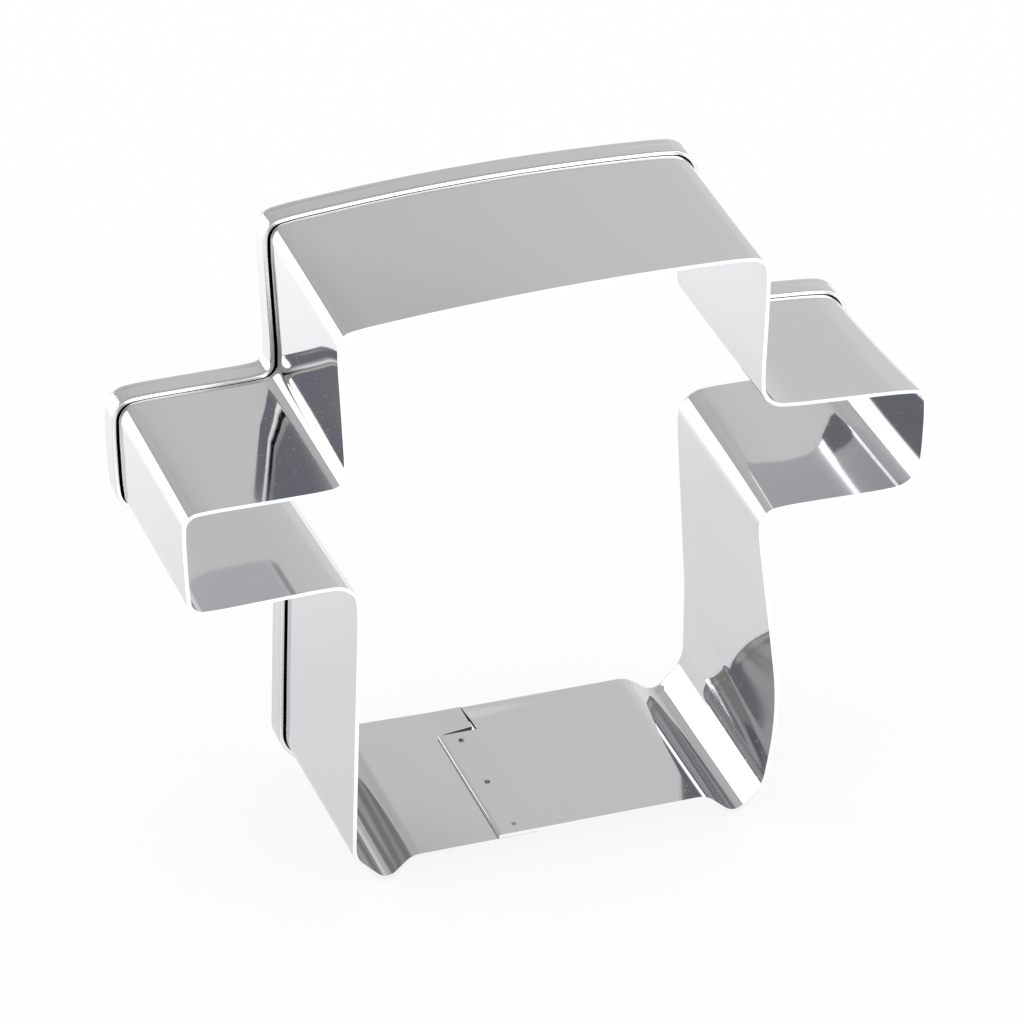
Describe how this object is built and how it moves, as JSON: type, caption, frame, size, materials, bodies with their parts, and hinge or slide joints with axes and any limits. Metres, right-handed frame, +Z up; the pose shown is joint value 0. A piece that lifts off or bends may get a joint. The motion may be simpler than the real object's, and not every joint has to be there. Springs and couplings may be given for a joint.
{
  "type": "cookie cutter",
  "caption": "Barbecue-shaped cookie cutter bent from one steel strip, with a hemmed rim and a spot-welded lap.",
  "frame": {"origin": "middle of the cutter's box in X and Y, at the height where the feet meet the table", "axes": "+X to the right along the width, +Y from the cutting edge to the hemmed rim, +Z up"},
  "size_m": [0.0798, 0.025, 0.0669],
  "materials": {
    "strip_steel": "mirror-bright rolled stainless steel",
    "weld_steel": "duller where the electrodes pressed"
  },
  "bodies": {
    "root": {"strip": "strip_steel", "spot_welds": "weld_steel"}
  },
  "joints": []
}
